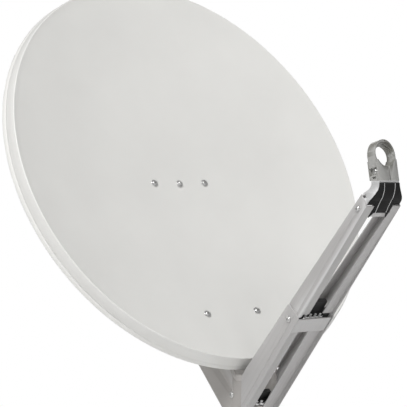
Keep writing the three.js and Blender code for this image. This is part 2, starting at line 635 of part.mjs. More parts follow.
SIDES.forEach(([label, side]) => {
  // The bolt's head bears on the inside of the bracket and its nut on the outside of the carrier.
  const lockBolt = bolt({ radius: LOCK_BOLT, length: 20, head: 7, headHeight: 4.6, washer: 8.6 });
  const place = polar(LOCK_RADIUS, LOCK_REST);
  const bearing = addPart(dish, `lock_bolt_${label}`, lockBolt, "steel");
  bearing.rotation.z = -side * Math.PI / 2;
  bearing.position.set(side * (BRACKET_CHEEK.inner - GAP), ...place);
  const lockNut = addPart(
    dish, `lock_nut_${label}`, nut({ bore: LOCK_BOLT + GAP, across: 8, height: 6.5 }), "steel");
  lockNut.rotation.z = -side * Math.PI / 2;
  lockNut.position.set(side * (CHEEK.outer + GAP), ...place);
});

const jawVee = toothedVee().map(([x, y]) => [x, -y]);
const jawSpan = shapeOf([
  [-VEE_HALF, JAW.face], ...jawVee, [VEE_HALF, JAW.face],
  [VEE_HALF, JAW.back], [26, JAW.crown], [-26, JAW.crown], [-VEE_HALF, JAW.back]]);
const jawWeb = shapeOf([
  [-SADDLE.half, JAW.face], [-VEE_HALF, JAW.face], [-23, JAW.crown - 4],
  [23, JAW.crown - 4], [VEE_HALF, JAW.face], [SADDLE.half, JAW.face],
  [SADDLE.half, JAW.back], [36, JAW.back], [26, JAW.crown],
  [-26, JAW.crown], [-36, JAW.back], [-SADDLE.half, JAW.back]]);
const clampJaw = cut(
  join(
    alongZ(jawSpan, -JAW.halfHeight, 14 - JAW.halfHeight),
    alongZ(jawSpan, JAW.halfHeight - 14, JAW.halfHeight),
    alongZ(jawWeb, -JAW.halfHeight, JAW.halfHeight),
  ),
  ...CLAMP_BOLTS.map(([x, z]) => rod(CLAMP_BOLT + GAP, -90, 90).translate(x, 0, z)),
);
addPart(dish, "clamp_jaw", clampJaw, "carrier");

CLAMP_BOLTS.forEach(([x, z], i) => {
  const shape = bolt({ radius: CLAMP_BOLT, length: 136, head: 7.2, headHeight: 5, washer: 9 });
  addPart(dish, `clamp_bolt_${i + 1}`, shape, "steel").position.set(x, SADDLE.front - GAP, z);
  const hex = nut({ bore: CLAMP_BOLT + GAP, across: 7.8, height: 6.5 });
  addPart(dish, `clamp_nut_${i + 1}`, hex, "steel").position.set(x, JAW.back + GAP, z);
});

export default dish;
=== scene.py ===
"""Offset satellite dish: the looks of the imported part, in metres, in the part's own frame."""
import json
import math

import bmesh
import bpy
from mathutils import Matrix, Vector


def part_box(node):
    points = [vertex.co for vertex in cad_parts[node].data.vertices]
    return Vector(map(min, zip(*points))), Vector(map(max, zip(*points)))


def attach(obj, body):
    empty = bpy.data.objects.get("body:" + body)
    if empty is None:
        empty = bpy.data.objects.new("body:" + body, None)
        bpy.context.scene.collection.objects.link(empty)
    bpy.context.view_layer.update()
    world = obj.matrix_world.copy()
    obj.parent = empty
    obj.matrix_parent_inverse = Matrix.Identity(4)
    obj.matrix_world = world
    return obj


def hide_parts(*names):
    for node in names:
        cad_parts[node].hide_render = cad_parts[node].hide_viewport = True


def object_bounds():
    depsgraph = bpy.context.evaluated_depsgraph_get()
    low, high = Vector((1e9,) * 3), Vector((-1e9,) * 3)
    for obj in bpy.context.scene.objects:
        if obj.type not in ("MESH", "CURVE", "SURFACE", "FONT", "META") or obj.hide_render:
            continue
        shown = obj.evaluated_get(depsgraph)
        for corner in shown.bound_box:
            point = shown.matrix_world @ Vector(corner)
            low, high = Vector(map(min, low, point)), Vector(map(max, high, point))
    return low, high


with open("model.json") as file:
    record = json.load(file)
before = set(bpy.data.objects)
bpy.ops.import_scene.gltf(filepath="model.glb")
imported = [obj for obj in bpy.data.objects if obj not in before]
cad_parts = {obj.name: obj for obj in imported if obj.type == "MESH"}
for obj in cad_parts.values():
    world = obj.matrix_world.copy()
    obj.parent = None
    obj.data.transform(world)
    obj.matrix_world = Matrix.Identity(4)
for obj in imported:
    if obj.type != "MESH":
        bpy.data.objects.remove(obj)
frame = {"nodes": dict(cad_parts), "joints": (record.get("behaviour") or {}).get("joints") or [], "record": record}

CAD_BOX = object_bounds()
MM = 0.001
SIDES = (("left", -1), ("right", 1))
COLOURS = {material["slot"]: material["base_color"] for material in frame["record"]["materials"]}
SLOT_OF = {part["node"]: part["material_slot"] for part in frame["record"]["subparts"]}
BODY_OF = {
    node: body for body, nodes in frame["record"]["behaviour"]["bodies"].items() for node in nodes}
JOINTS = {joint["name"]: Vector(joint["pos_m"]) for joint in frame["joints"] if "pos_m" in joint}

# ---------------------------------------------------------------- frames of the assembly
# Lengths are in millimetres, and each frame turns them into the row's metres.
DISH_TILT = math.radians(29.3)              # rim plane, back from vertical
ARM_SLOPE = math.radians(41)                # feed arm, forward from vertical
RING_TILT = math.radians(11)                # feed ring's axis, down towards the dish
PIVOT_FROM_DISH = (0, 78, -265)
RING_FROM_DISH = (0, -597.5, 2.5)           # from the middle of the rim plane, as is the pivot
FOLD_IN_ARM = (0, 21.8, -327)               # fold hinge, in the arm's frame
GAP = 0.4                                   # between touching parts


def shift(x, y, z):
    """A move by millimetres."""
    return Matrix.Translation(Vector((x, y, z)) * MM)


def turn(angle, axis):
    """A turn about one of the axes."""
    return Matrix.Rotation(angle, 4, axis)


ALONG_X = turn(-math.pi / 2, "Z")           # turns +Y to point along +X
AGAINST_X = turn(math.pi / 2, "Z")          # turns +Y to point along -X
UPRIGHT = Matrix.Translation(JOINTS["elevation"]) @ shift(*PIVOT_FROM_DISH).inverted()
TILTED = UPRIGHT @ turn(-DISH_TILT, "X")    # +Y is the rim plane's backward normal
ARM = Matrix.Translation(JOINTS["feed_arm_fold"]) @ turn(ARM_SLOPE, "X") @ shift(*FOLD_IN_ARM).inverted()
RING = UPRIGHT @ shift(*RING_FROM_DISH) @ turn(-RING_TILT, "X")


# ---------------------------------------------------------------- mesh helpers
SAME_POINT = 1e-6                           # metres between corners that are one
NEARLY_FLAT = math.radians(0.6)             # between faces that are one
SHARP = math.radians(28)                    # between faces whose edge is rounded


def link(name, mesh):
    """A new object that shows a mesh."""
    obj = bpy.data.objects.new(name, mesh)
    bpy.context.scene.collection.objects.link(obj)
    return obj


def build(name, points, faces, place):
    """A mesh object from points in millimetres in a frame, with its faces turned outwards."""
    mesh = bpy.data.meshes.new(name)
    mesh.from_pydata([place @ (Vector(point) * MM) for point in points], [], faces)
    bm = bmesh.new()
    bm.from_mesh(mesh)
    bmesh.ops.recalc_face_normals(bm, faces=bm.faces)
    bm.to_mesh(mesh)
    bm.free()
    return link(name, mesh)


def loft(name, rows, place):
    """A closed skin over rows of equally many points, with a fan over each end."""
    count = len(rows[0])
    points = [Vector(point) for row in rows for point in row]
    faces = []
    for start in range(0, (len(rows) - 1) * count, count):
        for i in range(count):
            j = (i + 1) % count
            faces.append((start + i, start + j, start + count + j, start + count + i))
    for start in (0, (len(rows) - 1) * count):
        centre = sum(points[start:start + count], Vector()) / count
        points.append(centre)
        faces += [(start + i, start + (i + 1) % count, len(points) - 1) for i in range(count)]
    return build(name, points, faces, place)


def prism(name, outline, low, high, axis, place):
    """An outline drawn across an axis, from low to high along it."""
    order = {"X": (0, 1, 2), "Y": (1, 0, 2), "Z": (1, 2, 0)}[axis]
    points = []
    for level in (low, high):
        for a, b in outline:
            values = (level, a, b)
            points.append(tuple(values[i] for i in order))
    count = len(outline)
    faces = [tuple(range(count)), tuple(range(count, 2 * count))]
    faces += [(i, (i + 1) % count, count + (i + 1) % count, count + i) for i in range(count)]
    return build(name, points, faces, place)


def slab(name, x, y, z, place):
    """A block between two values on each axis, for cutting and joining."""
    return prism(name, [(x[0], z[0]), (x[1], z[0]), (x[1], z[1]), (x[0], z[1])], y[0], y[1], "Y", place)


def lathe(name, profile, place, steps=48):
    """A profile of (radius, y) turned about the Y axis. It starts and ends on the axis."""
    points = [(0, profile[0][1], 0)]
    rings = profile[1:-1]
    for radius, y in rings:
        for step in range(steps):
            angle = step / steps * math.tau
            points.append((radius * math.cos(angle), y, radius * math.sin(angle)))
    points.append((0, profile[-1][1], 0))
    faces = []
    for step in range(steps):
        after = (step + 1) % steps
        faces.append((0, 1 + step, 1 + after))
        for row in range(len(rings) - 1):
            low = 1 + row * steps
            high = low + steps
            faces.append((low + step, low + after, high + after, high + step))
        last = 1 + (len(rings) - 1) * steps
        faces.append((last + step, last + after, len(points) - 1))
    return build(name, points, faces, place)


def drum(name, radius, low, high, place, steps=48):
    """A plain round plug along Y, for cutting."""
    return lathe(name, [(0, low), (radius, low), (radius, high), (0, high)], place, steps)


def bake(obj):
    """Makes an object's modifiers part of its mesh."""
    evaluated = obj.evaluated_get(bpy.context.evaluated_depsgraph_get())
    mesh = bpy.data.meshes.new_from_object(evaluated)
    obj.modifiers.clear()
    obj.data = mesh
    return obj


def combine(base, tools, operation="DIFFERENCE"):
    """Cuts tools out of a base, or joins them to it, and removes them."""
    for tool in tools:
        modifier = base.modifiers.new("combine", "BOOLEAN")
        modifier.operation = operation
        modifier.solver = "MANIFOLD"
        modifier.object = tool
    bake(base)
    for tool in tools:
        bpy.data.objects.remove(tool)
    return base


def soften(obj, width, segments=2):
    """Rounds the sharp edges, by a width in millimetres, and smooths the shading."""
    bm = bmesh.new()
    bm.from_mesh(obj.data)
    bmesh.ops.remove_doubles(bm, verts=bm.verts, dist=SAME_POINT)
    bmesh.ops.dissolve_limit(bm, angle_limit=NEARLY_FLAT, verts=bm.verts, edges=bm.edges)
    bmesh.ops.recalc_face_normals(bm, faces=bm.faces)
    for face in bm.faces:
        face.smooth = True
    bm.to_mesh(obj.data)
    bm.free()
    bevel = obj.modifiers.new("round", "BEVEL")
    bevel.width = width * MM
    bevel.segments = segments
    bevel.limit_method = "ANGLE"
    bevel.angle_limit = SHARP
    bevel.harden_normals = True
    return smooth(bake(obj))


def smooth(obj, angle=40):
    """Smooth shading, apart from edges sharper than an angle."""
    obj.data.shade_smooth()
    obj.data.set_sharp_from_angle(angle=math.radians(angle))
    return obj


def copy_of(node):
    """A new object with a copy of a CAD node's mesh, its split corners merged again."""
    bm = bmesh.new()
    bm.from_mesh(frame["nodes"][node].data)
    bmesh.ops.remove_doubles(bm, verts=bm.verts, dist=2 * SAME_POINT)
    mesh = bpy.data.meshes.new(node)
    bm.to_mesh(mesh)
    bm.free()
    return link(node + "_fine", mesh)


def settle(obj, node, slot=None):
    """Gives a finished piece its material, its body and the CAD node it stands for.

    A piece with a slot of its own is added detail: it rides with the node and replaces nothing.
    """
    slot_name = slot or SLOT_OF[node]
    obj.data.materials.clear()
    obj.data.materials.append(MATERIALS[slot_name])
    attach(obj, BODY_OF[node])
    if slot is None:
        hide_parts(node)


# ---------------------------------------------------------------- materials
# Tones are shares of a finish's own colour, and spreads shares of its own roughness.
MOTTLE_TONES = (0.965, 1.02)
STREAK_TONE = 0.8
# painted shade: the share of a finish's colour that the deepest corners darken towards
CORNER_SHADE_TONE = 0.72
HIGHLIGHT_WHITE = 0.9                            # painted highlight: what edges lighten towards
ROUGHNESS_SPREAD = (0.88, 1.12)
NOISE_RANGE = (0.3, 0.7)                    # where most of a noise texture's values lie
HIGHLIGHTED_EDGES = (0.53, 0.62)                   # pointiness range of the painted edge highlight, from a slight edge to a sharp one
DEEP_CORNERS = (0.40, 0.47)                 # pointiness range of the painted corner shade, from a deep corner to a slight one
CORNER_SHADE_REACH = 0.55                          # painted shade: how far the deepest corners darken towards the corner shade tone
STREAK_LENGTH = 60                          # times the streak's width
STREAK_GRAIN = 0.25                         # streaks per grain
COAT_ROUGHNESS = 0.25


def material(slot, roughness, metallic, grain, mottle, bump, edge,
             streaks=0.0, coat=0.0, gloss=0.5, shade=1.0):
    """A finish: soft mottling, fine grain in bump and roughness, edges lightened as a painted highlight, corners
    darkened as painted shade, and streaks.

    grain and mottle are in features per metre, bump is in metres, edge is how much edges lighten as a painted
    highlight, streaks is how strongly lines along the arm show, gloss is the plain reflection's strength, and
    shade darkens the record's colour.
    """
    finish = bpy.data.materials.new(slot)
    finish.use_nodes = True
    nodes = finish.node_tree.nodes
    links = finish.node_tree.links
    shader = nodes["Principled BSDF"]
    shader.inputs["Metallic"].default_value = metallic
    shader.inputs["Specular IOR Level"].default_value = gloss
    shader.inputs["Coat Weight"].default_value = coat
    shader.inputs["Coat Roughness"].default_value = COAT_ROUGHNESS
    colour = [channel * shade for channel in COLOURS[slot]]
    place = nodes.new("ShaderNodeTexCoord").outputs["Object"]

    def noise(scale, detail, vector):
        """A noise texture's value."""
        texture = nodes.new("ShaderNodeTexNoise")
        texture.inputs["Scale"].default_value = scale
        texture.inputs["Detail"].default_value = detail
        links.new(vector, texture.inputs["Vector"])
        return texture.outputs["Fac"]

    def remap(value, low, high, between=NOISE_RANGE):
        """A value stretched from one range to another, low to high."""
        node = nodes.new("ShaderNodeMapRange")
        limits = {"From Min": between[0], "From Max": between[1], "To Min": low, "To Max": high}
        for socket, number in limits.items():
            node.inputs[socket].default_value = number
        links.new(value, node.inputs["Value"])
        return node.outputs["Result"]

    def tint(factor, first, second):
        """A colour between two, chosen by a factor; the first may be a socket."""
        node = nodes.new("ShaderNodeMix")
        node.data_type = "RGBA"
        links.new(factor, node.inputs["Factor"])
        if isinstance(first, bpy.types.NodeSocket):
            links.new(first, node.inputs[6])
        else:
            node.inputs[6].default_value = (*first, 1)
        node.inputs[7].default_value = (*second, 1)
        return node.outputs[2]

    def toned(share):
        """The finish's own colour, darker or lighter."""
        return [min(1, channel * share) for channel in colour]

    cloud = noise(mottle, 4, place)
    speck = noise(grain, 3, place)
    darker, lighter = MOTTLE_TONES
    base = tint(remap(cloud, 0, 1), toned(darker), toned(lighter))
    height = speck
    if streaks:
        mapping = nodes.new("ShaderNodeMapping")
        mapping.vector_type = "TEXTURE"
        mapping.inputs["Rotation"].default_value = (ARM_SLOPE, 0, 0)
        mapping.inputs["Scale"].default_value = (1, 1, STREAK_LENGTH)
        links.new(place, mapping.inputs["Vector"])
        lines = noise(grain * STREAK_GRAIN, 2, mapping.outputs["Vector"])
        base = tint(remap(lines, 0, streaks), base, toned(STREAK_TONE))
        height = lines
    point = nodes.new("ShaderNodeNewGeometry").outputs["Pointiness"]
    # painted highlight: sharp edges lighten towards white, in place of the light they catch
    highlighted = [channel + (HIGHLIGHT_WHITE - channel) * edge for channel in colour]
    base = tint(remap(point, 0, 1, HIGHLIGHTED_EDGES), base, highlighted)
    # painted shade: deep corners darken by pointiness, in place of the shade that falls there
    base = tint(remap(point, CORNER_SHADE_REACH, 0, DEEP_CORNERS), base, toned(CORNER_SHADE_TONE))
    links.new(base, shader.inputs["Base Color"])
    smoother, rougher = ROUGHNESS_SPREAD
    links.new(remap(speck, roughness * smoother, roughness * rougher), shader.inputs["Roughness"])
    relief = nodes.new("ShaderNodeBump")
    relief.inputs["Strength"].default_value = 1.0
    relief.inputs["Distance"].default_value = bump
    links.new(height, relief.inputs["Height"])
    links.new(relief.outputs["Normal"], shader.inputs["Normal"])
    return finish


# edge sets how strongly each finish's edges are lightened as a painted highlight
FINISHES = {
    "reflector_coat": {
        "roughness": 0.40, "metallic": 0.0, "grain": 900, "mottle": 5, "bump": 0.00003, "edge": 0.5,
        "coat": 0.2},
    "rail_coat": {
        "roughness": 0.42, "metallic": 0.2, "grain": 1500, "mottle": 9, "bump": 0.00002, "edge": 0.4,
        "streaks": 0.35},
    "carrier_coat": {
        "roughness": 0.5, "metallic": 0.2, "grain": 1100, "mottle": 12, "bump": 0.00004, "edge": 0.3},
    "bright_metal": {
        "roughness": 0.40, "metallic": 0.7, "grain": 2200, "mottle": 20, "bump": 0.000015, "edge": 0.4,
        "streaks": 0.2},
    "clamp_casting": {
        "roughness": 0.5, "metallic": 0.35, "grain": 450, "mottle": 30, "bump": 0.00006, "edge": 0.3,
        "shade": 0.66},
    "black_plastic": {
        "roughness": 0.6, "metallic": 0.0, "grain": 1400, "mottle": 25, "bump": 0.00004, "edge": 0.06,
        "gloss": 0.2},
    "bolt_steel": {
        "roughness": 0.3, "metallic": 0.9, "grain": 2500, "mottle": 60, "bump": 0.00001, "edge": 0.5},
}
MATERIALS = {slot: material(slot, **finish) for slot, finish in FINISHES.items()}

# ---------------------------------------------------------------- reflector
APERTURE_RADIUS = 425
FOCAL_LENGTH = 530.8
LOWER_EDGE = 30.7                           # the reflector's lower edge, above the paraboloid's axis
OFFSET_ANGLE = math.atan((LOWER_EDGE + APERTURE_RADIUS) / (2 * FOCAL_LENGTH))
HALF_HEIGHT = APERTURE_RADIUS / math.cos(OFFSET_ANGLE)
SHEET = 1.6
RIM_POINTS = 240
BOWL_RINGS = 40
BOWL_MIDDLE, BOWL_REACH = 0.03, 0.965       # the first ring's share of the way to the edge, and the rest
BOLT_HOLE = 3.3
# The rim's section past the surface's edge, as (outward, backward): rolled ridge, band, crease and hem.
RIM_OUTSIDE = [
    (1.0, -0.9), (2.0, -1.3), (2.9, -1.0), (3.5, -0.1), (4.0, 1.2), (4.7, 3.6), (5.7, 6.0), (7.2, 13.5),
    (8.6, 21.0), (9.0, 23.4), (8.6, 24.6), (8.7, 25.6), (10.0, 26.5), (10.9, 27.8), (12.3, 31.2),
    (12.9, 32.7), (13.15, 33.5), (12.9, 34.1), (12.3, 34.2)]
RIM_INSIDE = [
    (11.7, 33.9), (11.4, 33.0), (10.3, 30.4), (9.0, 27.4), (8.0, 25.6), (7.4, 23.6), (5.6, 13.5),
    (3.9, 5.0), (3.2, 3.2), (2.1, 2.2)]
# Bolts as (across, up) from the middle, along the beam.
REFLECTOR_BOLTS = [(-67, 20.8), (0, 20.8), (67, 20.8), (-65, -302), (65, -302)]


def surface_normal(across, up):
    """The backward normal of the reflecting surface at a place given along the beam."""
    slope_up = up / (2 * FOCAL_LENGTH)
    slope_across = across / (2 * FOCAL_LENGTH)
    cos, sin = math.cos(OFFSET_ANGLE), math.sin(OFFSET_ANGLE)
    along_up = Vector((0, -slope_up * cos, 1 / cos + slope_up * sin))
    along_across = Vector((1, -slope_across * cos, slope_across * sin))
    return along_up.cross(along_across).normalized()


def surface_point(across, up, behind):
    """A point a distance behind the surface."""
    sag = (APERTURE_RADIUS ** 2 - across ** 2 - up ** 2) / (4 * FOCAL_LENGTH)
    cos, sin = math.cos(OFFSET_ANGLE), math.sin(OFFSET_ANGLE)
    point = Vector((across, sag * cos, up / cos - sag * sin))
    return point + surface_normal(across, up) * behind


def surface_ring(share, behind):
    """One ring of the bowl, at a share of the way from its middle to its edge."""
    radius = share * APERTURE_RADIUS
    angles = [i / RIM_POINTS * math.tau for i in range(RIM_POINTS)]
    return [surface_point(radius * math.cos(angle), radius * math.sin(angle), behind) for angle in angles]


def rim_ring(outward, backward):
    """One ring of the rim, offset outwards from the edge of the surface."""
    ring = []
    for i in range(RIM_POINTS):
        angle = i / RIM_POINTS * math.tau
        edge = Vector((APERTURE_RADIUS * math.cos(angle), 0, HALF_HEIGHT * math.sin(angle)))
        normal = Vector((math.cos(angle) / APERTURE_RADIUS, 0, math.sin(angle) / HALF_HEIGHT)).normalized()
        ring.append(edge + normal * outward + Vector((0, backward, 0)))
    return ring


def onto_surface(across, up, behind):
    """A frame on the surface at a bolt's place, +Y pointing backwards through the sheet."""
    point = surface_point(across, up, behind)
    facing = Vector((0, 1, 0)).rotation_difference(surface_normal(across, up))
    return TILTED @ shift(*point) @ facing.to_matrix().to_4x4()


def make_reflector():
    """The dish's one pressed sheet, with its rolled rim and hem."""
    shares = [BOWL_MIDDLE + BOWL_REACH * i / BOWL_RINGS for i in range(BOWL_RINGS + 1)]
    rows = [surface_ring(share, 0) for share in shares]
    rows += [rim_ring(*offset) for offset in RIM_OUTSIDE + RIM_INSIDE]
    rows += [surface_ring(share, SHEET) for share in reversed(shares)]
    sheet = loft("reflector_sheet", rows, TILTED)
    holes = [drum("hole", BOLT_HOLE, -8, 12, onto_surface(*spot, 0), 24) for spot in REFLECTOR_BOLTS]
    combine(sheet, holes)
    settle(smooth(sheet, 50), "reflector")


make_reflector()

# ---------------------------------------------------------------- screws, bolts and nuts
WASHER = 1.4
THREAD = 1.25
THREAD_DEPTH = 0.35
SLIVER = 0.01                               # how far a cutter reaches past what it cuts
CLAMP_SCREW = {"start": -18.5, "height": -27.5, "length": 30}     # on the ring, from its middle
# Behind the reflector's sheet come a gap and the carrier's plate. The upper middle bolt stands prouder.
REFLECTOR_BOLT = {"length": 16, "prouder": 2, "gap": 1, "plate": 3, "stand_off": 0.9}
REFLECTOR_NUT = {"across": 6.4, "height": 5}


class Fastener:
    """Sizes of one kind of screw or bolt. Shank, head and washer are radii, and height is the head's."""

    def __init__(self, shank, head, height, washer, hexagonal=False):
        self.shank = shank
        self.head = head
        self.height = height
        self.washer = washer
        self.hexagonal = hexagonal


FASTENERS = {
    "reflector_bolt": Fastener(3, 5.2, 3, 8),
    "cheek_screw": Fastener(3, 4.6, 2.6, 6.4),
    "fold_screw": Fastener(3, 4.6, 2.6, 6),
    "head_screw": Fastener(2, 3.8, 2.2, 5.6),
    "feed_clamp_screw": Fastener(2.5, 5.4, 3, 6.2),
    "foot_bolt": Fastener(3, 5.4, 4, 8, hexagonal=True),
    "pivot_bolt": Fastener(5, 8.4, 6, 11, hexagonal=True),
    "lock_bolt": Fastener(4, 7, 4.6, 8.6, hexagonal=True),
    "clamp_bolt": Fastener(4, 7.2, 5, 9, hexagonal=True),
}
NUT_BORES = {"reflector_nut": 3.4, "foot_nut": 3.4, "pivot_nut": 5.4, "lock_nut": 4.4, "clamp_nut": 4.4}


def hexagon(name, across, low, high, place):
    """A hexagonal block along Y whose corners are turned down at both ends."""
    corners = [(across * math.cos(i * math.pi / 3), across * math.sin(i * math.pi / 3)) for i in range(6)]
    block = prism(name, corners, low, high, "Y", place)
    flat = across * 0.88
    rise = (across - flat) * 0.6
    wide = across + 0.1
    cone = lathe("chamfer", [
        (0, low - SLIVER), (flat, low - SLIVER), (wide, low + rise), (wide, high - rise),
        (flat, high + SLIVER), (0, high + SLIVER)], place)
    return combine(block, [cone], "INTERSECT")


def threaded(radius, start, end):
    """A profile of thread ridges from start to end along a shank."""
    count = max(1, int((end - start) / THREAD))
    pitch = (end - start) / count
    root = radius - THREAD_DEPTH
    ridges = []
    for i in range(count):
        y = start + i * pitch
        ridges += [(root, y), (radius, y + 0.5 * pitch)]
    return ridges + [(root, end)]


def make_bolt(name, kind, length, height, place):
    """A bolt with its washer under the head. The washer sits on y = 0 and the shank points along +Y."""
    shank, head, rim = kind.shank, kind.head, kind.washer
    top = -WASHER - height
    under = 0.2 - WASHER                    # the head goes a little way into the washer
    thread = threaded(shank, length * 0.4, length - 0.8)
    bolt = lathe(name, [
        (0, -WASHER), (rim - 0.35, -WASHER), (rim, 0.35 - WASHER), (rim, -0.2), (rim - 0.2, 0),
        (shank, 0), (shank, length * 0.4), *thread, (shank - 0.9, length), (0, length)], place)
    if kind.hexagonal:
        return smooth(combine(bolt, [hexagon("head", head, top, under, place)], "UNION"), 32)
    crown = lathe("head", [
        (0, top), (head * 0.45, top + 0.08 * height), (head * 0.75, top + 0.3 * height),
        (head * 0.93, top + 0.6 * height), (head, top + 0.85 * height), (head, under), (0, under)], place)
    arm = head * 0.55
    width = head * 0.13
    depth = (top - 1, top + 0.55 * height)
    recess = [slab("recess", (-arm, arm), depth, (-width, width), place @ turn(angle, "Y"))
              for angle in (0.4, 0.4 + math.pi / 2)]
    combine(crown, recess)
    return smooth(combine(bolt, [crown], "UNION"), 32)


def make_nut(name, across, bore, height, place):
    """A hexagonal nut with turned corners and a chamfered bore."""
    body = hexagon(name, across, 0, height, place)
    mouth = bore + 1.1
    past = 0.5
    chamfer = 0.6
    hole = lathe("bore", [
        (0, -past), (mouth, -past), (bore, chamfer), (bore, height - chamfer), (mouth, height + past),
        (0, height + past)], place)
    return smooth(combine(body, [hole]), 32)


def kind_of(node, kinds):
    """The kind whose name a node's name starts with."""
    return next(kinds[prefix] for prefix in kinds if node.startswith(prefix))


def measure(node):
    """The axis a fastener lies along (0 for X, 1 for Y), and its middle and size in millimetres."""
    low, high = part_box(node)
    axis = 1 if node.startswith("clamp") else 0
    return axis, (low + high) / 2 / MM, (high - low) / MM


def straight_nut(node):
    """The fine copy of a nut that lies along X or Y."""
    axis, middle, size = measure(node)
    across = max(size[i] for i in range(3) if i != axis) / 2
    start = list(middle)
    start[axis] -= size[axis] / 2
    place = shift(*start) if axis else shift(*start) @ ALONG_X
    nut = make_nut(node + "_fine", across, kind_of(node, NUT_BORES), size[axis], place)
    settle(nut, node)


def head_side(node):
    """Which end of its axis a bolt's head is at, 1 or -1. The lock bolts' heads are inside the carrier."""
    side = 1 if "right" in node else -1
    return -side if node.startswith("lock") else side


def straight_bolt(node):
    """The fine copy of a bolt or screw that lies along X or Y."""
    axis, middle, size = measure(node)
    kind = kind_of(node, FASTENERS)
    side = head_side(node)
    seat = list(middle)
    seat[axis] += side * (size[axis] / 2 - kind.height - WASHER)
    if axis:
        place = shift(*seat)
    else:
        place = shift(*seat) @ (AGAINST_X if side > 0 else ALONG_X)
    length = size[axis] - kind.height - WASHER
    settle(make_bolt(node + "_fine", kind, length, kind.height, place), node)


def clamp_screw():
    """The feed clamp's screw, which lies across the tilted ring's axis."""
    kind = FASTENERS["feed_clamp_screw"]
    place = RING @ shift(CLAMP_SCREW["start"] - GAP, 0, CLAMP_SCREW["height"]) @ ALONG_X
    screw = make_bolt("feed_clamp_screw_fine", kind, CLAMP_SCREW["length"], kind.height, place)
    settle(screw, "feed_clamp_screw")


def reflector_fasteners():
    """The five bolts through the reflector; the upper middle one stands prouder."""
    kind = FASTENERS["reflector_bolt"]
    stand_off = REFLECTOR_BOLT["stand_off"]
    for i, spot in enumerate(REFLECTOR_BOLTS):
        height = kind.height + (REFLECTOR_BOLT["prouder"] if i == 1 else 0)
        place = onto_surface(*spot, -stand_off)
        bolt = make_bolt(f"reflector_bolt_{i + 1}_fine", kind, REFLECTOR_BOLT["length"], height, place)
        settle(bolt, f"reflector_bolt_{i + 1}")
        seat = onto_surface(*spot, SHEET + REFLECTOR_BOLT["gap"] + REFLECTOR_BOLT["plate"] + stand_off)
        nut = make_nut(
            f"reflector_nut_{i + 1}_fine", REFLECTOR_NUT["across"], NUT_BORES["reflector_nut"],
            REFLECTOR_NUT["height"], seat)
        settle(nut, f"reflector_nut_{i + 1}")


reflector_fasteners()
clamp_screw()
for node, cad in frame["nodes"].items():
    if cad.hide_render:
        continue                            # a finer piece already stands for it
    if "nut" in node:
        straight_nut(node)
    elif "bolt" in node or "screw" in node:
        straight_bolt(node)

# ---------------------------------------------------------------- feed arm
WALL_OUTSIDE = {"upper": 42.4, "lower": 44.9}
# The line pressed into each rail's wall: its place across the wall, half its width, and how deep it goes.
GROOVE = {"middle": 13, "half": 1.3, "deep": 0.8}
GROOVE_RUNS = {"upper": (52, 302), "lower": (310, 604)}
# Nodes whose shape is right in CAD and only wants rounded edges, with their width.
ROUNDED = {
    "fold_bar": 0.6, "fold_comb": 0.35, "foot_comb": 0.35, "cheek_spacer": 0.3,
    "mast_bracket": 0.5, "clamp_jaw": 0.6, "foot_web": 0.4, "carrier_plate": 0.4}


def rail(level, label, side):
    """A rail with a rounded outer bend and the pressed line along its wall."""
    node = f"{level}_rail_{label}"
    start, end = GROOVE_RUNS[level]
    face = side * (WALL_OUTSIDE[level] + 0.3)
    root = side * (WALL_OUTSIDE[level] - GROOVE["deep"])
    middle, half = GROOVE["middle"], GROOVE["half"]
    outline = [(face, middle - half), (face, middle + half), (root, middle)]
    groove = prism("groove", outline, -end, -start, "Z", ARM)
    settle(soften(combine(copy_of(node), [groove]), 0.55, 3), node)


for label, side in SIDES:
    for level in GROOVE_RUNS:
        rail(level, label, side)

for node, width in ROUNDED.items():
    settle(soften(copy_of(node), width), node)

# ---------------------------------------------------------------- carrier's cheeks
CHEEK_OUTSIDE = 42.3
PRESSED_RING = {"place": (-212, -430), "outer": 22.6, "inner": 21.4, "deep": 0.5}
DIMPLES = ((-192, -471.5), (-192, -492.5))     # above and below the cheek's screw
DIMPLE = {"radius": 1.5, "deep": 0.6}


def across_x(x, y, z):
    """A frame at a place in the upright frame whose +Y points along +X."""
    return UPRIGHT @ shift(x, y, z) @ ALONG_X


def cheek(label, side):
    """One cheek of the carrier, with an arc pressed under the rim and a dimple each side of its screw."""
    outside = side * CHEEK_OUTSIDE
    face = across_x(outside, *PRESSED_RING["place"])
    deep = PRESSED_RING["deep"]
    ring = drum("ring", PRESSED_RING["outer"], -deep, deep, face, 64)
    combine(ring, [drum("core", PRESSED_RING["inner"], -2 * deep, 2 * deep, face, 64)])
    cuts = [ring]
    for spot in DIMPLES:
        place = across_x(outside, *spot)
        cuts.append(drum("dimple", DIMPLE["radius"], -DIMPLE["deep"], DIMPLE["deep"], place, 20))
    node = f"carrier_cheek_{label}"
    settle(soften(combine(copy_of(node), cuts), 0.4), node)


for label, side in SIDES:
    cheek(label, side)

# ---------------------------------------------------------------- head of the arm
# Sections down the head, from the centre of the rim plane: height, half width, front and back.
HEAD_SECTIONS = [
    (-42, 24.5, -621, -597), (-49, 24.8, -621, -597), (-57, 27, -620.5, -593), (-64, 31, -618.5, -583),
    (-72, 36, -614.8, -576), (-78, 39, -610, -572.5), (-86, 39.4, -603, -567)]
HEAD_TOP = {"outside": -41.9, "inside": -44.4}
HEAD_BOTTOM = -86
HEAD_SHEET = 2.4
HEAD_ROWS = 28
SHELL_RECESS = 2.4                          # the moulding's lip covers the sheet's front edges
# The upper rails' slanted ends, as (along, depth), and the step behind the rails' backs.
RAIL_TOP_LINE = ((32.4, -60), (4.4, 24.9), (9, 24.9), (9, 90))
# The bracket's tongues inside the rails, as (depth, height), and the web between them.
TONGUE = [(3.4, -1), (3.4, -46), (21, -46), (21, -12), (14, -4.5)]
TONGUE_FACES = (37, 39.4)
WEB = {"half": 38.4, "depth": (3.4, 5.8), "height": (-41, -27.6)}
HEAD_SCREW_HOLE = {"radius": 2.4, "depth": 14.5, "height": -32}
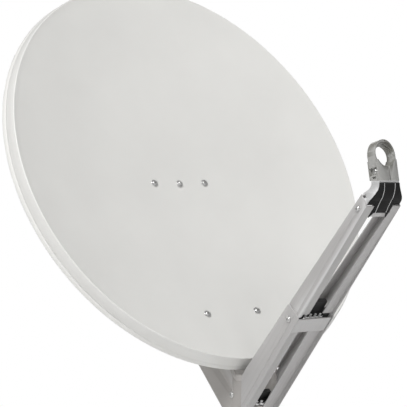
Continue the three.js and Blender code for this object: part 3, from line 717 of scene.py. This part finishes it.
# The black moulding. Its front is a little behind the sections' front, and its skirt lies on the arm.
INSERT_TOP = -44.8
INSERT_FRONT = 0.5
INSERT_DEPTH = 9
LIP_DEPTH = 2
SKIRT_HALF = 21.6
SKIRT_FRONT = [(-12, 4.2), (-6, 2.6), (2, 2), (12, 0.8), (28, -1.5)]    # as (along, depth)
SKIRT_BACK = [(1.5, -28), (12, -4), (16, 14)]                           # as (depth, height)
LEG_SECTIONS = ((24, 14.5, -1.1), (33, 17.5, -0.6), (41, 20.4, 0.1))    # as (along, inner side, front)
LEG_BACK = 1.5
STRIP = {"depth": (1.7, 3.3), "height": (-40.5, -28.3)}
RIB_ACROSS = 13
RIB = {"half": 0.5, "sunk": 0.5, "proud": 0.45, "steps": 17, "step": 1.7}


def arm_point(along, depth):
    """A place on the arm, as (y, z) in the upright frame."""
    point = UPRIGHT.inverted() @ ARM @ (Vector((0, depth, -along)) * MM) / MM
    return point.y, point.z


def section_at(z):
    """The head's half width, front and back at a height, on a smooth curve through its sections."""
    last = len(HEAD_SECTIONS) - 1
    i = next((k for k in range(last) if z >= HEAD_SECTIONS[k + 1][0]), last - 1)
    before, start, end, after = (HEAD_SECTIONS[min(max(k, 0), last)] for k in (i - 1, i, i + 1, i + 2))
    span = end[0] - start[0]
    t = (z - start[0]) / span
    values = []
    for column in (1, 2, 3):
        leaving = (end[column] - before[column]) / (end[0] - before[0]) * span
        arriving = (after[column] - start[column]) / (after[0] - start[0]) * span
        values.append(
            start[column] * (2 * t ** 3 - 3 * t ** 2 + 1) + leaving * (t ** 3 - 2 * t ** 2 + t)
            + end[column] * (3 * t ** 2 - 2 * t ** 3) + arriving * (t ** 3 - t ** 2))
    return values


def head_rows(top, bottom, inset, front_of, back_of):
    """Rectangular rows down the head; front_of and back_of turn its front and back into theirs."""
    rows = []
    for i in range(HEAD_ROWS + 1):
        z = top + (bottom - top) * i / HEAD_ROWS
        half, front, back = section_at(z)
        x, y0, y1 = half - inset, front_of(front, back), back_of(front, back)
        rows.append([(-x, y0, z), (x, y0, z), (x, y1, z), (-x, y1, z)])
    return rows


def below_rail_top():
    """Everything below the slanted upper ends of the rails."""
    outline = [(depth, -along) for along, depth in (*RAIL_TOP_LINE, (140, 90), (140, -60))]
    return prism("below", outline, -60, 60, "X", ARM)


def head_bracket():
    """The bright folded sheet that carries the clamp, with tongues inside the upper rails."""
    shell = loft("head_bracket_fine", head_rows(
        HEAD_TOP["outside"], HEAD_BOTTOM, 0,
        lambda front, back: front + SHELL_RECESS, lambda front, back: back), UPRIGHT)
    hollow = loft("hollow", head_rows(
        HEAD_TOP["inside"], HEAD_BOTTOM - 0.5, HEAD_SHEET,
        lambda front, back: front - 5, lambda front, back: back - HEAD_SHEET), UPRIGHT)
    combine(shell, [hollow, below_rail_top()])
    tongues = [prism("tongue", TONGUE, *sorted(side * face for face in TONGUE_FACES), "X", ARM)
               for _, side in SIDES]
    web = slab("web", (-WEB["half"], WEB["half"]), WEB["depth"], WEB["height"], ARM)
    combine(shell, [*tongues, web], "UNION")
    across = ARM @ shift(0, HEAD_SCREW_HOLE["depth"], HEAD_SCREW_HOLE["height"]) @ ALONG_X
    hole = drum("hole", HEAD_SCREW_HOLE["radius"], -60, 60, across)
    settle(soften(combine(shell, [hole]), 0.5, 3), "head_bracket")


def insert_leg(side):
    """One of the moulding's two pointed legs, which run down beside the rails' flanges."""
    rows = []
    far = side * SKIRT_HALF
    for along, inner, front in LEG_SECTIONS:
        near = side * inner
        rows.append([
            (near, front, -along), (far, front, -along), (far, LEG_BACK, -along), (near, LEG_BACK, -along)])
    return loft("leg", rows, ARM)


def head_insert():
    """The black moulding in the head, with a lip over the sheet, a skirt and two pointed legs."""
    body = loft("head_insert_fine", head_rows(
        INSERT_TOP, HEAD_BOTTOM, HEAD_SHEET + GAP,
        lambda front, back: front + INSERT_FRONT, lambda front, back: front + INSERT_DEPTH), UPRIGHT)
    lip = loft("lip", head_rows(
        INSERT_TOP, HEAD_BOTTOM, 0.2,
        lambda front, back: front + INSERT_FRONT, lambda front, back: front + LIP_DEPTH), UPRIGHT)
    combine(body, [lip], "UNION")
    combine(body, [below_rail_top()])
    outline = [(depth, -along) for along, depth in SKIRT_FRONT] + SKIRT_BACK
    skirt = prism("skirt", outline, -SKIRT_HALF, SKIRT_HALF, "X", ARM)
    combine(body, [skirt, *[insert_leg(side) for _, side in SIDES]], "UNION")
    settle(soften(body, 0.35), "head_insert")


def head_lip():
    """The grey strip of sheet that shows between the flanges, below the black moulding."""
    strip = slab("head_lip", (-SKIRT_HALF, SKIRT_HALF), STRIP["depth"], STRIP["height"], ARM)
    settle(soften(strip, 0.4), "head_bracket", slot="rail_coat")


def head_rib(label, side):
    """A thin rib that runs down the front of the black moulding; its bright metal is a painted highlight for the
    light its edge catches.
    """
    path = []
    for i in range(RIB["steps"]):
        z = INSERT_TOP - 0.4 - i * RIB["step"]
        path.append(Vector((section_at(z)[1] + INSERT_FRONT, z)))
    path += [Vector(arm_point(along, depth)) for along, depth in SKIRT_FRONT[2:]]
    left, right = side * RIB_ACROSS - RIB["half"], side * RIB_ACROSS + RIB["half"]
    rows = []
    for i, point in enumerate(path):
        run = (path[min(i + 1, len(path) - 1)] - path[max(i - 1, 0)]).normalized()
        outward = Vector((run.y, -run.x))
        near = point - outward * RIB["sunk"]
        far = point + outward * RIB["proud"]
        rows.append([(left, *far), (right, *far), (right, *near), (left, *near)])
    rib = soften(loft(f"head_rib_{label}", rows, UPRIGHT), 0.2)
    # painted highlight: bright metal in place of the light on the rib's edge
    settle(rib, "head_insert", slot="bright_metal")


head_bracket()
head_insert()
head_lip()
for label, side in SIDES:
    head_rib(label, side)

# ---------------------------------------------------------------- feed clamp
RING_SHAPE = {"half": 25, "top": 31, "depth": 10.6, "bore": 20}
RING_STEPS = 80                             # round the ring's upper half
# Steps round the bore, as (radius, height above the bore's middle, from, to).
MOUTHS = ((23, 4, -30, -6), (21.5, 1.5, -30, -2), (22.5, 0, 5, 30))
BLOCK = {"half": 24.4, "top": -7, "depth": 13, "foot": -60}
CLAMP_BASE = -41.5                          # the block's flat foot, in the upright frame
# Cuts in the block, each as (across, depth, height). The screw's head sits in the pocket.
SLIT = ((2.4, 4.9), (-30, 30), (-70, 0))
SCREW_POCKET = ((-30, CLAMP_SCREW["start"]), (-10, 10.5), (-34.5, -20.5))
SIDE_SLOT = ((-30, -20), (-5, 5), (-41, -37))
# A fine line pressed down each side of the block, and a round mark on the ring's front.
SIDE_LINE = {"deep": 0.8, "depth": (-9, -8.2), "height": (-60, -14)}
MARK = {"radius": 1.6, "deep": 1.2, "across": 3, "height": 28.2}


def ring_and_block():
    """The clamp's solid outside: a ring with straight sides and an elliptical top, on its block."""
    half, depth, foot = BLOCK["half"], BLOCK["depth"], BLOCK["foot"]
    outline = [(-half, foot), (half, foot)]
    for i in range(RING_STEPS + 1):
        angle = math.pi * i / RING_STEPS
        outline.append((RING_SHAPE["half"] * math.cos(angle), RING_SHAPE["top"] * math.sin(angle)))
    ring = prism("feed_clamp_fine", outline, -RING_SHAPE["depth"], RING_SHAPE["depth"], "Y", RING)
    wide = half + 0.02                      # so that the block's sides and the ring's foot don't coincide
    block = slab("block", (-wide, wide), (-depth, depth), (foot, BLOCK["top"]), RING)
    return combine(ring, [block], "UNION")


def feed_clamp():
    """The cast ring with its stepped mouth, on a slit block with a pocket for its screw."""
    half = BLOCK["half"]
    deep, line_depth, line_height = SIDE_LINE["deep"], SIDE_LINE["depth"], SIDE_LINE["height"]
    front = -RING_SHAPE["depth"]
    cuts = [
        slab("base", (-60, 60), (-700, -500), (CLAMP_BASE - 100, CLAMP_BASE), UPRIGHT),
        drum("bore", RING_SHAPE["bore"], -30, 30, RING, 96),
        *[drum("mouth", radius, low, high, RING @ shift(0, 0, up), 96) for radius, up, low, high in MOUTHS],
        slab("slit", *SLIT, RING),
        slab("pocket", *SCREW_POCKET, RING),
        drum("screw_way", 2.9, -40, 14, RING @ shift(0, 0, CLAMP_SCREW["height"]) @ ALONG_X),
        slab("slot", *SIDE_SLOT, RING),
        slab("line_left", (-26, deep - half), line_depth, line_height, RING),
        slab("line_right", (half - deep, 26), line_depth, line_height, RING),
        drum("mark", MARK["radius"], front - 1.4, front + MARK["deep"],
             RING @ shift(MARK["across"], 0, MARK["height"]), 20),
    ]
    settle(soften(combine(ring_and_block(), cuts), 0.7, 3), "feed_clamp")


feed_clamp()

# ---------------------------------------------------------------- cable clips in the combs
# Where each clip is, as the (across, depth) of its middle and where along the arm it starts.
CLIPS = {
    "fold_comb": [(x, 9.5, 306.5) for x in (-18, -6, 6, 18)],
    "foot_comb": [(x, 13, 564.5) for x in (-6, 6)],
}
CLIP = {"radius": 4.6, "thick": 0.7, "wide": 5, "steps": 32}
CLIP_ARC = (120, 300)                       # where the ring starts and how far it goes round, in degrees


def cable_clip(name, node, across, depth, along):
    """An open ring that lines a notch of a comb; its bright metal is a painted highlight for the light caught by
    the clip's edges.
    """
    outer, inner = CLIP["radius"], CLIP["radius"] - CLIP["thick"]
    end = along + CLIP["wide"]
    start, sweep = CLIP_ARC
    rows = []
    for i in range(CLIP["steps"] + 1):
        angle = math.radians(start + sweep * i / CLIP["steps"])
        row = []
        for size, level in ((outer, along), (outer, end), (inner, end), (inner, along)):
            row.append((across + size * math.sin(angle), depth + size * math.cos(angle), -level))
        rows.append(row)
    clip = soften(loft(name, rows, ARM), 0.15)
    # painted highlight: bright metal in place of the light on the clip's edges
    settle(clip, node, slot="bright_metal")


for node, places in CLIPS.items():
    for i, spot in enumerate(places):
        cable_clip(f"{node}_clip_{i + 1}", node, *spot)

# ---------------------------------------------------------------- camera, light and floor
CAMERA_PLACE = Vector((-1.739, -2.678, 0.221))
CAMERA_FORWARD = Vector((0.5765, 0.8169, -0.0152))
CAMERA_RIGHT = Vector((0.8170, -0.5766, -0.0005))
LENS = {"length": 122.94, "sensor": 36}
WORLD_LIGHT = 0.29
FLOOR_DROP = 500                            # below the lowest point of the dish
FLOOR_HALF = 9000
# Softboxes, as place, what they face, size and power.
SOFTBOXES = {
    "key": ((-2.4, -1.7, 3.3), (0, -0.3, 0.1), 1.6, 134),
    "low fill": ((-1.0, -3.4, -0.9), (0, -0.3, 0), 1.6, 30),
    "back": ((2.3, 2.2, 2.0), (0, -0.3, 0.1), 2.0, 30),
}


def make_camera():
    """A long lens, level with the reflector, from the front left."""
    back = -CAMERA_FORWARD.normalized()
    right = CAMERA_RIGHT.normalized()
    up = back.cross(right)
    lens = bpy.data.cameras.new("camera")
    lens.lens = LENS["length"]
    lens.sensor_width = LENS["sensor"]
    lens.clip_end = 50
    camera = bpy.data.objects.new("camera", lens)
    camera.matrix_world = Matrix.Translation(CAMERA_PLACE) @ Matrix((right, up, back)).transposed().to_4x4()
    bpy.context.scene.collection.objects.link(camera)
    bpy.context.scene.camera = camera


def area_light(name, place, target, size, power):
    """A square softbox that faces a point."""
    data = bpy.data.lights.new(name, "AREA")
    data.size = size
    data.energy = power
    lamp = bpy.data.objects.new(name, data)
    lamp.location = place
    lamp.rotation_euler = (Vector(target) - Vector(place)).to_track_quat("-Z", "Y").to_euler()
    bpy.context.scene.collection.objects.link(lamp)


def white_to_camera(tree, shader, output):
    """Leads a shader to an output, but with plain white for what the camera sees directly."""
    mix = tree.nodes.new("ShaderNodeMixShader")
    path = tree.nodes.new("ShaderNodeLightPath")
    white = tree.nodes.new("ShaderNodeEmission")
    tree.links.new(path.outputs["Is Camera Ray"], mix.inputs[0])
    tree.links.new(shader, mix.inputs[1])
    tree.links.new(white.outputs["Emission"], mix.inputs[2])
    tree.links.new(mix.outputs["Shader"], tree.nodes[output].inputs["Surface"])


def make_surround():
    """A white surround with a dim even light."""
    world = bpy.data.worlds.new("studio")
    bpy.context.scene.world = world
    world.use_nodes = True
    background = world.node_tree.nodes["Background"]
    background.inputs["Color"].default_value = (1, 1, 1, 1)
    background.inputs["Strength"].default_value = WORLD_LIGHT
    white_to_camera(world.node_tree, background.outputs["Background"], "World Output")


def make_floor():
    """A pale floor below the hanging dish."""
    place = shift(0, 0, CAD_BOX[0].z / MM - FLOOR_DROP)
    floor = slab("floor", (-FLOOR_HALF, FLOOR_HALF), (-FLOOR_HALF, FLOOR_HALF), (-10, 0), place)
    pale = bpy.data.materials.new("floor")
    pale.use_nodes = True
    shader = pale.node_tree.nodes["Principled BSDF"]
    shader.inputs["Base Color"].default_value = (0.9, 0.9, 0.9, 1)
    shader.inputs["Roughness"].default_value = 0.9
    white_to_camera(pale.node_tree, shader.outputs["BSDF"], "Material Output")
    floor.data.materials.append(pale)


make_camera()
make_surround()
for name, softbox in SOFTBOXES.items():
    area_light(name, *softbox)
make_floor()
bpy.context.scene.view_settings.view_transform = "Standard"
